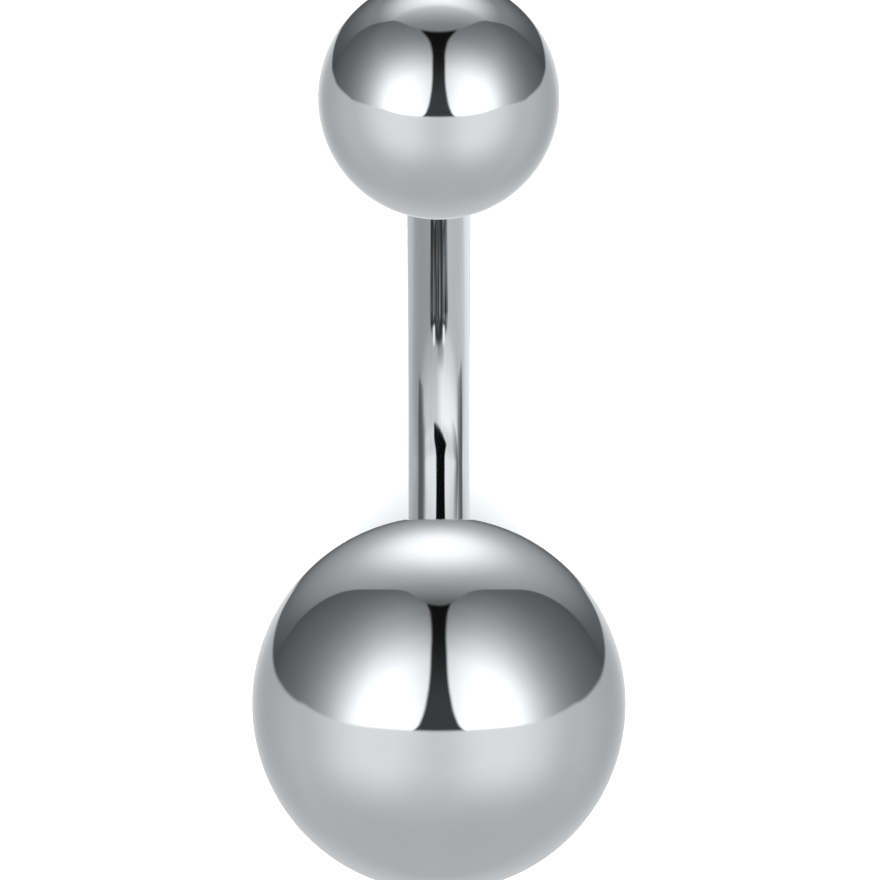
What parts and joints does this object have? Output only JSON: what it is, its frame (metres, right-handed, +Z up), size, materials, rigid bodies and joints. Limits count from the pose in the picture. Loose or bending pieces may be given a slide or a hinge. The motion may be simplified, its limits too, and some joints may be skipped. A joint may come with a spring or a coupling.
{
  "type": "navel ring",
  "caption": "Curved navel ring: a slim round bar with a bend in it, with a small ball screwed onto one end and a larger ball onto the other, in mirror-polished steel.",
  "frame": {"origin": "on the ground, at the bottom centre of the ring's box as it lies on its two balls", "axes": "+Z up, +Y along the ring towards the small ball, X across it; the bar bends in the YZ plane with its hollow side up"},
  "size_m": [0.01, 0.0246, 0.01],
  "materials": {
    "bar_steel": "mirror-polished surgical steel, with faint draw lines along the bar",
    "ball_steel": "mirror-polished surgical steel"
  },
  "bodies": {
    "bar": {"curved_bar": "bar_steel"},
    "top_ball": {"top_ball": "ball_steel"},
    "bottom_ball": {"bottom_ball": "ball_steel"}
  },
  "joints": [
    {"name": "top_ball_unscrew", "type": "slide", "parent": "bar", "child": "top_ball", "axis": [0, 0.9617, 0.2742], "range_m": [0, 0.004]},
    {"name": "bottom_ball_unscrew", "type": "slide", "parent": "bar", "child": "bottom_ball", "axis": [0, -0.8699, 0.4933], "range_m": [0, 0.005]}
  ]
}
